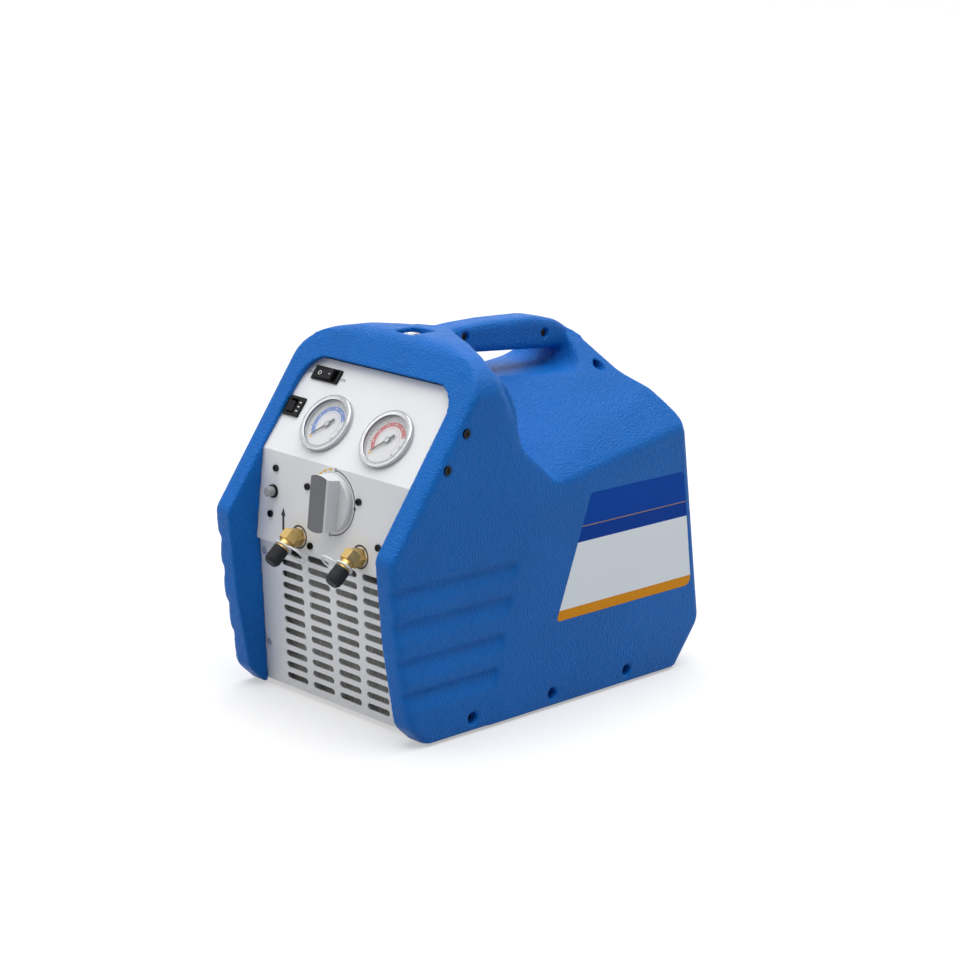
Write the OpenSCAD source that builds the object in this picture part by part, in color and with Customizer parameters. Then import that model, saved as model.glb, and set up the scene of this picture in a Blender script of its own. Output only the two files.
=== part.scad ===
// Refrigerant recovery machine: a two-half moulded housing with its own handle, a folded
// control panel over an air grille, and the compressor, condenser and fan on a base plate.
// The front looks along -Y, the base stands on z = 0, and the halves meet at x = 0.

/* [Housing] */
// Width of the housing
body_w = 250; // [236:1:270]
// Length of the housing outline, nose to rear
body_l = 426.4; // [406:0.2:450]
// Height of the collar top above the floor
collar_top = 351; // [347:0.5:355]
// Drop of the nose below the collar top
nose_drop = 172; // [163:1:181]
// Wall of the mouldings
wall = 4; // [3:0.25:4.5]
// Radius along the outer side edges
edge_r = 8; // [5:0.5:10]
// Height of the housing edge above the floor
floor_gap = 3; // [2:0.5:3.5]
// Width of the front opening
opening_w = 200; // [188:1:206]
// Drop of the top edge of the front opening below the collar top
opening_drop = 33; // [33:1:41]
// Corner radius of the front opening
opening_r = 26; // [12:1:34]
// Depth of the side ribs
rib_depth = 2; // [1:0.1:3]

/* [Handle] */
// Width of the handle bar
handle_w = 32; // [28:1:38]
// Depth of the saddle under the handle below the collar top
saddle_drop = 50; // [47:1:57]
// Rise of the handle bar above the collar top
handle_rise = 2; // [1:0.5:6]
// Thickness of the handle bar
handle_t = 27; // [24:0.5:30]

/* [Front panels] */
// Sheet thickness of the panels and the base
sheet = 1.5; // [1:0.1:2]
// Lean of the gauge plate from upright
gauge_lean = 37; // [36:0.25:38]
// Lean of the knob plate from upright
knob_lean = 4.5; // [3.5:0.25:5.5]
// Height of the knob plate
knob_h = 85; // [83:0.5:87]
// Forward lean of the grille
grille_lean = 4.7; // [4:0.1:5.2]
// Half overlap of the panels behind the opening
panel_lap = 8; // [5:0.5:10]
// Slot length in the grille
slot_l = 30; // [24:0.5:33]
// Slot height in the grille
slot_h = 6.5; // [5:0.25:8]

/* [Gauges] */
// Outer diameter of a gauge bezel
gauge_d = 58; // [52:0.5:62]
// Distance between the two gauges
gauge_gap = 81; // [76:0.5:86]
// How far a bezel stands proud of the panel
bezel_h = 5; // [4:0.25:7]
// Depth of a gauge case behind the panel
gauge_depth = 30; // [24:0.5:34]

/* [Controls] */
// Diameter of the selector knob
knob_d = 54; // [46:0.5:56]
// Height of the selector knob
knob_out = 19; // [16:0.5:22]
// Diameter of the selector shaft
stem_d = 8; // [6:0.25:10]
// Diameter of the reset button
button_d = 9.5; // [8:0.25:11]
// Travel of the reset button
button_travel = 3; // [2:0.25:4]
// Half distance between the two ports
port_x = 42; // [40:0.5:46]
// Outer diameter of the port caps
cap_d = 15.5; // [14.5:0.25:16.5]
// Diameter of the flare thread on the ports
thread_d = 11.1; // [10:0.1:11.5]

/* [Inside] */
// Diameter of the fan rotor
fan_d = 112; // [100:1:114]
// Number of fan blades
fan_blades = 7; // [5:1:9]
// Spacing of the condenser fins
fin_pitch = 4.5; // [4:0.25:7]
// Diameter of the compressor motor
motor_d = 104; // [90:1:110]

/* [Hidden] */
$fn = 48;

// Clearances
seat = 0.2;
run = 0.05;
far = 400;

// Housing
half_w = body_w / 2;
cap_reach = 1.2;
nose_y = cap_reach - body_l / 2;
rear_y = cap_reach + body_l / 2;
nose_z = collar_top - nose_drop;
opening_top = collar_top - opening_drop;
saddle_z = collar_top - saddle_drop;
handle_top = collar_top + handle_rise;
skirt = 8;
collar_slope = 118;
rear_high = [rear_y - 45.4, collar_top - 63];
rear_low = [rear_y, 45];
rear_tilt = atan((rear_low[0] - rear_high[0]) / (rear_high[1] - rear_low[1]));

// Corners of the side outline as [y, z, radius]
outline = [
    [nose_y + 59, floor_gap - skirt - 3, 0],
    [nose_y + 28, 20, 20],
    [nose_y + 11.5, 95, 150],
    [nose_y, nose_z, 12],
    [nose_y + collar_slope, collar_top, 22],
    [rear_y - 129.4, collar_top, 60],
    [rear_y - 88.4, collar_top - 11, 40],
    [rear_y - 66.4, collar_top - 29, 30],
    [rear_high[0], rear_high[1], 12],
    [rear_low[0], rear_low[1], 20],
    [rear_y - 40.4, floor_gap - skirt - 3, 0]
];

// Cross section of the housing as steps of [half width, inset of the outline, top]
function edge_step(angle) = [half_w - edge_r * (1 - cos(angle)), edge_r * (1 - sin(angle))];
steps = [
    [edge_step(0)[0], edge_step(0)[1], collar_top - 50],
    [edge_step(30)[0], edge_step(30)[1], collar_top - 40],
    [edge_step(60)[0], edge_step(60)[1], collar_top - 31],
    [edge_step(90)[0], 0, collar_top - 24],
    [half_w - 17, 0, collar_top - 16],
    [half_w - 33, 0, collar_top - 8],
    [half_w - 65, 0, collar_top - 1.5],
    [half_w - 95, 0, collar_top]
];

// Planes of the shoulder behind the collar as [point, tilt from up, heading]
roof = [[half_w - 7, 1, collar_top - 123], 38.67, -15.8];
chamfer = [[half_w, 1, collar_top - 126], 45.45, -8.4];
collar_back = [[half_w - 3, nose_y + 122, collar_top - 17], 65.84, 62.55];

// Front panel planes, measured on the front faces
fold = [nose_y + 42.4, collar_top - 116.3];
knob_base = fold - knob_h * [sin(knob_lean), cos(knob_lean)];
grille_base = [nose_y + 51.5, 5];
panel_half = opening_w / 2 + panel_lap;
gauge_h = 101;
knob_lip_z = knob_base[1] - sheet;
grille_top = (knob_lip_z - 2 * seat - grille_base[1]) / cos(grille_lean);
flange_in = 24;

// Gauges, placed on the gauge plate
gauge_up = 38;
gauge_mid = 3.5;
gauge_low_x = gauge_mid - gauge_gap / 2;
gauge_high_x = gauge_mid + gauge_gap / 2;
gauge_body_d = gauge_d - 6;
dial_d = gauge_body_d - 4;
dial_back = -1.8;
rim_out = 2.2;
needle_l = dial_d / 2 - 5;

// Controls
switch_at = [-70, 84.6];
switch_size = [36, 14.5];
rocker_size = [27, 10.5];
breaker_at = [-89, 46.5];
breaker_size = [21, 20];
breaker_rocker_size = [9, 13];
rocker_tilt = 8;
knob_at = [0, 53];
button_at = [-82, 46.8];
button_out = 9;
bush_d = button_d + 3;
port_up = 11.5;
screw_spots = [[-80.5, 69], [-83.5, 25], [-35, 60.5], [35, 60.5], [-25, 6.7], [65, 25]];
locator_at = [-29.3, 43];
block_size = [104, 66, 30];
block_up = 1.5;

// Ports
hex_af = 16;
hex_l = 11;
barrel_d = 13;
barrel_l = 13;
cap_l = 17;
elbow = 45;
thread_l = 12;

// Screws
screw_d = 4;
head_d = 8;
head_h = 2.6;
well_d = 11.5;
side_screw_y = [nose_y + 105, -2, rear_y - 110.4];
side_screw_z = 15;
collar_screws_at = [[nose_y + 86, collar_top - 68], [nose_y + 64, collar_top - 98]];
handle_screws_at = [[nose_y + 188, collar_top - 10], [rear_y - 130.4, collar_top - 17]];
slope_screw_at = [rear_y - 91.4, collar_top - 48];
side_well = 11;
collar_well = 4;

// Base
base_top = 6;
base_t = 2;
base_half = half_w - wall - side_well + 2 - seat;
base_front = nose_y + 55;
base_rear = rear_y - 42;
foot_d = 22;
foot_spots = [for (x = [-90, 90], y = [nose_y + 82, rear_y - 76.4]) [x, y]];

// Strap ring
ring_at = [nose_y + 131, collar_top - 5.5];
ring_r = 9.5;
ring_wire = 3.5;
recess = [27, 27, 11];
recess_floor = -6;
ring_tilt = 8;
clip_w = 9;
clip_d = ring_wire + 3;

// Rear panel
rear_mid_z = 150;
rear_mid_y = rear_low[0] - (rear_mid_z - rear_low[1]) * tan(rear_tilt);
window = [164, 150];
window_r = 14;
rear_lap = 12;
inlet_at = [52, -54];
inlet_flange = [32, 25];
inlet_body = [27, 20];

// Inside
tube_d = 8;
tube_rows = 5;
plate_t = 2;
cond_y = nose_y + 72;
cond_z = base_top;
bend_r = floor((knob_lip_z - cond_z - 16) / tube_rows * 5) / 10;
cond_h = 2 * bend_r * tube_rows;
tube_half = base_half - base_t - bend_r - tube_d / 2 - 1.5;
cond = [2 * (tube_half - 1), 24, cond_h];
fan_y = cond_y + cond[1] / 2 + seat;
fan_size = 120;
fan_depth = 32;
fan_z = base_top + fan_size / 2;
pump_z = 82;

// Geometry helpers

function unit(v) = v / norm(v);
function flat(c) = [c[0], c[1]];
function rounded_corner(a, b, c, r, count) =
    r == 0 ? [b] :
    let (
        u = unit(a - b),
        v = unit(c - b),
        half = acos(u * v) / 2,
        centre = b + unit(u + v) * r / sin(half),
        from = b + u * r / tan(half) - centre,
        to = b + v * r / tan(half) - centre,
        turn = 180 - 2 * half
    )
    [for (k = [0:count])
        centre + (sin(turn * (1 - k / count)) * from + sin(turn * k / count) * to) / sin(turn)];
function rounded(corners, count = 4) =
    let (last = len(corners))
    [for (i = [0:last - 1]) each rounded_corner(
        flat(corners[(i + last - 1) % last]), flat(corners[i]),
        flat(corners[(i + 1) % last]), corners[i][2], count)];

// Stand a [y, z] outline up and give it a width along X, from one x to another
module across(x0, x1) translate([x0, 0, 0]) rotate([90, 0, 90]) linear_extrude(x1 - x0) children();

// Rectangle with round corners, centred
module soft_rect(size, r) {
    square([size[0] - 2 * r, size[1]], center = true);
    square([size[0], size[1] - 2 * r], center = true);
    for (sx = [-1, 1], sy = [-1, 1])
        translate([sx * (size[0] / 2 - r), sy * (size[1] / 2 - r)]) circle(r);
}

module slot(l, h) {
    square([l - h, h], center = true);
    for (s = [-1, 1]) translate([s * (l - h) / 2, 0]) circle(d = h);
}

// Everything on the outer side of a plane that is given as [point, tilt, heading]
module beyond(plane, shift = 0)
    translate(plane[0]) rotate([0, plane[1], plane[2]])
        translate([-far, -far, shift]) cube([2 * far, 2 * far, far]);

// Tube swept along points
function tangent(p, i) =
    unit(p[min(i + 1, len(p) - 1)] - p[max(i - 1, 0)]);
function frame_side(t) = unit(cross(t, abs(t[2]) < 0.8 ? [0, 0, 1] : [1, 0, 0]));
module swept(points, d, sides = 10) {
    rings = [for (i = [0:len(points) - 1])
        let (t = tangent(points, i), a = frame_side(t), b = cross(t, a))
        for (k = [0:sides - 1])
            points[i] + d / 2 * (cos(360 * k / sides) * a + sin(360 * k / sides) * b)];
    last = (len(points) - 1) * sides;
    polyhedron(rings, [
        [for (k = [sides - 1:-1:0]) k],
        for (i = [0:len(points) - 2]) for (k = [0:sides - 1])
            [i * sides + k, i * sides + (k + 1) % sides,
             (i + 1) * sides + (k + 1) % sides, (i + 1) * sides + k],
        [for (k = [0:sides - 1]) last + k]
    ]);
}

// Points of a smooth path through corners, each corner rounded by r
function bend(a, b, c, r, count = 5) =
    let (p = b + unit(a - b) * r, q = b + unit(c - b) * r)
    [for (k = [0:count]) let (t = k / count)
        (1 - t) * (1 - t) * p + 2 * t * (1 - t) * b + t * t * q];
function pipe_path(corners, r) = [
    corners[0],
    for (i = [1:len(corners) - 2]) each bend(corners[i - 1], corners[i], corners[i + 1], r),
    corners[len(corners) - 1]
];

// Local frames: x across, y up the plate, z outward
module on_gauge_plate() translate([0, fold[0], fold[1]]) rotate([90 - gauge_lean, 0, 0]) children();
module on_knob_plate()
    translate([0, knob_base[0], knob_base[1]]) rotate([90 - knob_lean, 0, 0]) children();
module on_grille()
    translate([0, grille_base[0], grille_base[1]]) rotate([90 + grille_lean, 0, 0]) children();
module on_rear()
    translate([0, rear_mid_y, rear_mid_z]) rotate([90 - rear_tilt, 0, 180]) children();
module on_gauge(x) on_gauge_plate() translate([x, gauge_up, 0]) children();
module on_port(side) on_knob_plate() translate([side * port_x, port_up, 0]) children();
module along_port(side) on_port(side) translate([0, 0, hex_l]) rotate([elbow, 0, 0]) children();
module on_ring() translate([0, ring_at[0], ring_at[1]]) children();

// Housing

// Outer form of both halves, or its cavity when it is inset by t
module housing_form(t, forward = 0) {
    hull() for (s = steps, y = [0, -forward]) translate([0, y, 0])
        across(-(s[0] - t), s[0] - t) intersection() {
            offset(delta = -(s[1] + t)) polygon(rounded(outline));
            translate([-far, -far]) square([2 * far, far + s[2] - t]);
        }
}

// Air over the shoulder behind the collar
module shoulder_cut(t)
    intersection() {
        union() {
            beyond(roof, -t);
            beyond(chamfer, -t);
        }
        beyond(collar_back, -t);
    }

// Finger space round the handle
module finger_space(t) {
    floor_z = saddle_z - t;
    intersection() {
        across(-1, half_w) polygon(rounded([
            [-far, floor_z, 0],
            [rear_y - 108 + t, floor_z, 18],
            [rear_y - 98 + t, floor_z + 44, 0],
            [rear_y - 98 + t, far, 0],
            [-far, far, 0]
        ]));
        beyond(collar_back, -t);
    }
}

// Air over the tail behind the handle
module tail_cut(t)
    across(-1, half_w + 1) offset(delta = t) polygon(rounded([
        [rear_y - 110, far, 0],
        [rear_y - 110, collar_top - 7, 0],
        [rear_y - 87, collar_top - 20, 20],
        [rear_y - 72, collar_top - 54, 16],
        [rear_y - 53, collar_top - 69, 14],
        [rear_y + 7, collar_top - 171, 0],
        [rear_y + 60, collar_top - 171, 0],
        [rear_y + 60, far, 0]
    ]));

handle_outline = [
    [nose_y + 134, collar_top - 4, 4],
    [nose_y + 186, handle_top - 1, 60],
    [nose_y + 226, handle_top, 80],
    [rear_y - 142.4, handle_top - 1.5, 80],
    [rear_y - 110, handle_top - 8, 50],
    [rear_y - 88, collar_top - 19, 14],
    [rear_y - 90, collar_top - 36, 0],
    [rear_y - 118.4, handle_top - handle_t - 8, 0],
    [nose_y + 182, handle_top - handle_t, 0],
    [nose_y + 134, handle_top - handle_t + 3, 0]
];
handle_r = 7;
module handle_bar()
    hull() for (a = [0, 30, 60, 90])
        across(-handle_w / 2 + handle_r * (1 - cos(a)), handle_w / 2 - handle_r * (1 - cos(a)))
            offset(delta = -handle_r * (1 - sin(a))) polygon(rounded(handle_outline));

// Space behind the front faces of the panels
module behind_panels()
    across(-far, far) polygon([
        grille_base + [-seat - (-20) * tan(grille_lean), -20],
        [grille_base[0] - seat - (knob_lip_z - seat - grille_base[1]) * tan(grille_lean),
            knob_lip_z - seat],
        [knob_base[0] - seat, knob_lip_z - seat],
        fold + [-seat, 0],
        fold + [-seat + (far - fold[1]) * tan(gauge_lean), far - fold[1]],
        [far, far],
        [far, -20]
    ]);

module front_opening()
    translate([0, nose_y + 112, 0]) rotate([90, 0, 0]) linear_extrude(far)
        translate([0, opening_top - far / 2]) soft_rect([opening_w, far], opening_r);

// Taper of the front part of the side from a slanted crease, with four ledges that fade to the rear
crease_at = [-30, collar_top - 133];
crease_tilt = 12.1;
rib_z = [155, 124, 89, 58];
rib_end = 150;
rib_taper = 1;
rib_fade = atan(rib_depth / (rib_end - nose_y));
module side_ribs(t) {
    translate([half_w - t, crease_at[0], crease_at[1]]) rotate([-crease_tilt, 0, 0])
        rotate([0, 0, -rib_taper]) translate([0, -far, -far]) cube([20, far, 2 * far]);
    intersection() {
        translate([half_w - t, rib_end, 0]) rotate([90, 0, -rib_taper - rib_fade]) for (z = rib_z)
            linear_extrude(far) polygon([[0, z - 2], [rib_depth + 5, z - 26], [rib_depth + 5, z - 2]]);
        translate([0, crease_at[0] - 12, crease_at[1]]) rotate([-crease_tilt, 0, 0])
            translate([0, -far, -far]) cube([far, far, 2 * far]);
    }
}

// Printed film in a shallow recess of the right side
label_t = 0.25;
label_recess = 0.3;
label_outline = [[-1, 85, 3], [rear_y - 19, 85, 8],
    [rear_y - 40, collar_top - 147, 6], [40, collar_top - 147, 3]];
module side_label() color("white") across(half_w - label_recess, half_w - label_recess + label_t)
    offset(delta = -seat) polygon(rounded(label_outline));

module x_hole(y, z, x0, x1, d) translate([x0, y, z]) rotate([0, 90, 0]) cylinder(d = d, h = x1 - x0);

module wells() {
    for (y = side_screw_y) {
        x_hole(y, side_screw_z, half_w - side_well, half_w + 1, well_d);
        x_hole(y, side_screw_z, 0, half_w, screw_d + 0.5);
    }
    for (p = collar_screws_at) {
        x_hole(p[0], p[1], half_w - collar_well, half_w + 1, head_d + 2);
        x_hole(p[0], p[1], 60, half_w, screw_d + 0.5);
    }
}
module bosses() {
    for (y = side_screw_y)
        x_hole(y, side_screw_z, half_w - side_well - 2, half_w - 2, well_d + 4);
    for (p = collar_screws_at)
        x_hole(p[0], p[1], panel_half + seat, half_w - 2, head_d + 5);
}

module ring_recess() on_ring() {
    translate([-recess[0] / 2, -recess[1] / 2 + 7, recess_floor]) cube(recess + [0, 0, 20]);
}
module ring_recess_walls() on_ring()
    translate([-recess[0] / 2 - 4, -recess[1] / 2 + 3, recess_floor - 4])
        cube([recess[0] + 8, recess[1] + 8, recess[2] + 2]);

// The right half; the left one is its mirror image, with the screw pilots
module half_shell() {
    difference() {
        intersection() {
            union() {
                difference() {
                    housing_form(0);
                    shoulder_cut(0);
                    finger_space(0);
                    tail_cut(0);
                    intersection() {
                        behind_panels();
                        difference() {
                            housing_form(wall, 12);
                            shoulder_cut(wall);
                            finger_space(wall);
                            tail_cut(wall);
                            side_ribs(wall);
                        }
                    }
                    front_opening();
                    side_ribs(0);
                }
                handle_bar();
                bosses();
                intersection() {
                    ring_recess_walls();
                    housing_form(0.5);
                }
                x_hole(slope_screw_at[0], slope_screw_at[1], 0, 47, 14);
            }
            translate([0, -far, floor_gap]) cube([far, 2 * far, far]);
        }
        wells();
        ring_recess();
        on_rear() translate([0, 0, -15]) linear_extrude(30) soft_rect(window, window_r);
        rear_screw_places() translate([0, 0, -20]) cylinder(d = screw_d + 0.5, h = 40);
    }
}
join_places = [
    [handle_screws_at[0], handle_w / 2 - 6],
    [handle_screws_at[1], handle_w / 2 - 6],
    [slope_screw_at, 30]
];
module casing_right() color("royalblue") difference() {
    half_shell();
    for (p = join_places) {
        x_hole(p[0][0], p[0][1], -1, p[1], screw_d + 0.5);
        x_hole(p[0][0], p[0][1], p[1], half_w, head_d + 1.5);
    }
    across(half_w - label_recess, half_w + 1) polygon(rounded(label_outline));
}
module casing_left() color("royalblue") difference() {
    mirror([1, 0, 0]) half_shell();
    for (p = join_places) x_hole(p[0][0], p[0][1], -13, 1, screw_d + 2 * run);
}

// A cross-slot screw along +X that points to -X, its head seat at x = 0
module screw(l, d = screw_d, hd = head_d) rotate([0, 90, 0]) {
    difference() {
        cylinder(d = hd, h = head_h);
        for (a = [0, 90]) rotate([0, 0, a])
            translate([-hd * 0.3, -0.5, head_h - 1]) cube([hd * 0.6, 1, 2]);
    }
    translate([0, 0, -l]) cylinder(d = d, h = l);
}

module join_screws() color("black")
    for (p = join_places)
        translate([p[1], p[0][0], p[0][1]]) screw(p[1] + 12);
module casing_screws() color("black")
    for (side = [0, 1]) mirror([side, 0, 0]) {
        for (y = side_screw_y) translate([half_w - side_well, y, side_screw_z]) screw(9);
        for (p = collar_screws_at) translate([half_w - collar_well, p[0], p[1]])
            screw(half_w - collar_well - panel_half + 5);
    }

// Base

module base_plate() color("silver") difference() {
    union() {
        translate([-base_half, base_front, base_top - base_t])
            cube([2 * base_half, base_rear - base_front, base_t]);
        for (side = [0, 1]) mirror([side, 0, 0])
            translate([base_half - base_t, base_front + 10, base_top - base_t])
                cube([base_t, base_rear - base_front - 30, 26]);
    }
    for (side = [0, 1], y = side_screw_y) mirror([side, 0, 0])
        x_hole(y, side_screw_z, base_half - 5, base_half + 1, screw_d + 2 * run);
}
module feet() color("black")
    for (p = foot_spots) translate([p[0], p[1], 0])
        rotate_extrude() polygon([[0, 0], [foot_d / 2 - 1.5, 0], [foot_d / 2, 1.5],
            [foot_d / 2, base_top - base_t], [0, base_top - base_t]]);

// Front panels

module panel_cuts_gauge() {
    for (x = [gauge_low_x, gauge_high_x])
        translate([x, gauge_up]) circle(d = gauge_body_d + 2 * seat);
    translate(switch_at) square(switch_size - [4, 2.5], center = true);
    translate(breaker_at) square(breaker_size - [3, 3], center = true);
}
module panel_cuts_knob() {
    translate(knob_at) circle(d = stem_d + 1);
    translate(button_at) circle(d = bush_d + 2 * seat);
    translate(locator_at) circle(d = 5);
    for (s = [-1, 1]) translate([s * port_x, port_up]) circle(d = barrel_d + 1);
    for (p = screw_spots) translate(p) circle(d = screw_d + 2 * run);
}
module front_panel() color("whitesmoke") {
    on_gauge_plate() {
        translate([0, 0, -sheet]) linear_extrude(sheet) difference() {
            translate([-panel_half, 0.6]) square([2 * panel_half, gauge_h - 0.6]);
            panel_cuts_gauge();
        }
        for (side = [0, 1]) mirror([side, 0, 0]) difference() {
            translate([panel_half - sheet, 14, -flange_in]) cube([sheet, gauge_h - 28, flange_in]);
            on_gauge_plate_inverse() for (p = collar_screws_at)
                x_hole(p[0], p[1], panel_half - 5, panel_half + 1, screw_d + 2 * run);
        }
    }
    on_knob_plate() translate([0, 0, -sheet]) linear_extrude(sheet) difference() {
        translate([-panel_half, -sheet]) square([2 * panel_half, knob_h + sheet]);
        panel_cuts_knob();
    }
    across(-panel_half, panel_half) polygon([
        fold,
        fold - sheet * [-cos(knob_lean), sin(knob_lean)],
        fold + sheet * [cos(gauge_lean), -sin(gauge_lean)] + [sin(gauge_lean), cos(gauge_lean)],
        fold + [sin(gauge_lean), cos(gauge_lean)]
    ]);
    translate([-panel_half, knob_base[0] + 0.5, knob_lip_z])
        cube([2 * panel_half, 16, sheet]);
}
// Back from the gauge plate's frame to the part's own
module on_gauge_plate_inverse()
    rotate([gauge_lean - 90, 0, 0]) translate([0, -fold[0], -fold[1]]) children();

grille_cols = 4;
col_pitch = 37.6;
row_pitch = 11.43;
first_row = 11.8;
grille_rows = floor((grille_top - first_row - slot_h / 2 - 2) / row_pitch) + 1;
grille_screws_at = [for (x = [-1, 1], u = [40, grille_top - 12]) [x * (panel_half - 14), u]];
module grille_panel() color("whitesmoke") {
    on_grille() translate([0, 0, -sheet]) linear_extrude(sheet) difference() {
        translate([-panel_half, 1.5]) square([2 * panel_half, grille_top - 1.5]);
        for (c = [0:grille_cols - 1], r = [0:grille_rows - 1])
            translate([(c - (grille_cols - 1) / 2) * col_pitch, first_row + r * row_pitch])
                slot(slot_l, slot_h);
        for (p = grille_screws_at) translate(p) circle(d = screw_d + 2 * run);
    }
    translate([-panel_half, grille_base[0] + 1, base_top]) cube([2 * panel_half, 9, sheet]);
}
module panel_screw(l) {
    difference() {
        cylinder(d = head_d - 1.5, h = 2);
        translate([0, 0, 1]) cylinder(d = 2.6, h = 2, $fn = 6);
    }
    translate([0, 0, -l]) cylinder(d = screw_d, h = l);
}
module panel_screws() color("black") on_knob_plate()
    for (p = screw_spots) translate(p) panel_screw(sheet + 6);
module grille_screws() color("silver") on_grille()
    for (p = grille_screws_at) translate(p) panel_screw(sheet + 5);

// Switch, breaker and reset button

module switch_body() color("black") on_gauge_plate() translate(switch_at) difference() {
    union() {
        linear_extrude(2) square(switch_size, center = true);
        translate([0, 0, -22]) linear_extrude(22.5) square(switch_size - [4.4, 2.9], center = true);
    }
    translate([0, 0, -9]) linear_extrude(30)
        square(rocker_size + [1.2, 1], center = true);
}
// A rocker with a slightly dished face, tilted to one side
module rocker(size, axis_in) translate([0, 0, axis_in]) rotate([0, -rocker_tilt, 0])
    rotate([90, 0, 0]) linear_extrude(size[1], center = true) difference() {
        polygon([
            [-size[0] / 2 + 1.2, 7.2], [size[0] / 2 - 1.2, 7.2], [size[0] / 2 - 2.4, 1.5],
            [2.5, -3], [-2.5, -3], [-size[0] / 2 + 2.4, 1.5]
        ]);
        translate([0, 7.2 + 60]) circle(60.8, $fn = 96);
    }
module switch_rocker() color("black") on_gauge_plate() translate(switch_at)
    rocker(rocker_size, -3);
module breaker_body() color("black") on_gauge_plate() translate(breaker_at) difference() {
    union() {
        linear_extrude(2.2) square(breaker_size, center = true);
        translate([0, 0, -26]) linear_extrude(26.5) square(breaker_size - [3.4, 3.4], center = true);
    }
    translate([-2.5, 0, -9]) linear_extrude(30)
        square([breaker_rocker_size[0] + 1, breaker_rocker_size[1] + 1.2], center = true);
}
module breaker_rocker() color("dimgray") on_gauge_plate() translate(breaker_at)
    translate([-2.5, 0, 0]) rotate([0, 0, 90])
        rocker([breaker_rocker_size[1], breaker_rocker_size[0]], -3);

stop_in = 8;
module reset_button() color("gray") on_knob_plate() translate(button_at) {
    translate([0, 0, -stop_in]) cylinder(d = button_d, h = stop_in + button_out - 1);
    translate([0, 0, button_out - 1]) cylinder(d1 = button_d, d2 = button_d - 2, h = 1);
}
module pressure_switch() color("dimgray") on_knob_plate() translate(button_at) difference() {
    union() {
        translate([0, 0, -36]) cylinder(d = 26, h = 36 - sheet - seat);
        translate([0, 0, -sheet - 1]) cylinder(d = bush_d, h = sheet + 3);
        translate([0, 0, -46]) cylinder(d = 12, h = 11);
    }
    translate([0, 0, -stop_in - button_travel - 1])
        cylinder(d = button_d + 2 * run, h = 40);
}

// Gauges

module gauge_case(x) color("gray") on_gauge(x) {
    difference() {
        translate([0, 0, -gauge_depth]) cylinder(d = gauge_body_d, h = gauge_depth + rim_out);
        translate([0, 0, dial_back]) cylinder(d = gauge_body_d - 3, h = far);
    }
    translate([0, 0, -gauge_depth - 14]) cylinder(d = 14, h = 14.5, $fn = 6);
}
module gauge_bezel(x) color("silver") on_gauge(x) translate([0, 0, seat]) rotate_extrude($fn = 72)
    difference() {
        union() {
            translate([gauge_body_d / 2 - 2, 0]) square([5 - 1.5, bezel_h]);
            translate([gauge_body_d / 2 + 1, 0]) square([2, bezel_h - 1.5]);
            translate([gauge_body_d / 2 + 1.5, bezel_h - 1.5]) circle(1.5);
        }
        translate([0, -1]) square([gauge_body_d / 2 - 2, far]);
        translate([gauge_body_d / 2 - 3, -1]) square([3 + seat, 1 + rim_out + 1.4]);
    }
module gauge_dial(x) color("white") on_gauge(x) difference() {
    translate([0, 0, dial_back]) cylinder(d = gauge_body_d - 3 - 2 * seat, h = 1.2);
    translate([0, 0, dial_back - 1]) cylinder(d = 2 + 2 * run, h = 5);
}
needle_rest = 225;
module gauge_needle(x) color("black") on_gauge(x) rotate([0, 0, needle_rest]) {
    translate([0, 0, dial_back]) cylinder(d = 2, h = 3);
    translate([0, 0, dial_back + 2]) cylinder(d = 6, h = 1.6);
    translate([0, 0, dial_back + 2.6]) linear_extrude(0.7) polygon([
        [-needle_l * 0.45, -1.4], [-needle_l * 0.45, 1.4], [needle_l, 0.3], [needle_l, -0.3]
    ]);
}
module gauge_lens(x) color("white", 0.3) on_gauge(x)
    translate([0, 0, rim_out]) cylinder(d = gauge_body_d - 2 * seat, h = 1.4);
module gauge_case_low() gauge_case(gauge_low_x);
module gauge_bezel_low() gauge_bezel(gauge_low_x);
module gauge_dial_low() gauge_dial(gauge_low_x);
module gauge_needle_low() gauge_needle(gauge_low_x);
module gauge_lens_low() gauge_lens(gauge_low_x);
module gauge_case_high() gauge_case(gauge_high_x);
module gauge_bezel_high() gauge_bezel(gauge_high_x);
module gauge_dial_high() gauge_dial(gauge_high_x);
module gauge_needle_high() gauge_needle(gauge_high_x);
module gauge_lens_high() gauge_lens(gauge_high_x);

// Selector

knob_clear = 0.6;
knob_skirt = 5;
grip_w = 24;
module selector_knob() color("darkgray") on_knob_plate() translate(knob_at) difference() {
    union() {
        translate([0, 0, knob_clear]) cylinder(d = knob_d, h = knob_skirt - 1.5, $fn = 96);
        translate([0, 0, knob_clear + knob_skirt - 1.5])
            cylinder(d1 = knob_d, d2 = knob_d - 3, h = 1.5, $fn = 96);
        intersection() {
            translate([0, 0, knob_clear]) cylinder(d = knob_d - 1, h = knob_out - knob_clear, $fn = 96);
            rotate([90, 0, 0]) linear_extrude(knob_d, center = true) polygon([
                [-grip_w / 2 - 2, 0], [grip_w / 2 + 2, 0], [grip_w / 2, knob_out - 1.5],
                [grip_w / 2 - 1.5, knob_out], [-grip_w / 2 + 1.5, knob_out],
                [-grip_w / 2, knob_out - 1.5]
            ]);
        }
    }
    translate([0, 0, -1]) cylinder(d = stem_d + 2 * run, h = knob_out - 2);
}
module valve_stem() color("silver") on_knob_plate() translate(knob_at)
    translate([0, 0, -22]) cylinder(d = stem_d, h = 22 + knob_out - 4);
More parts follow.
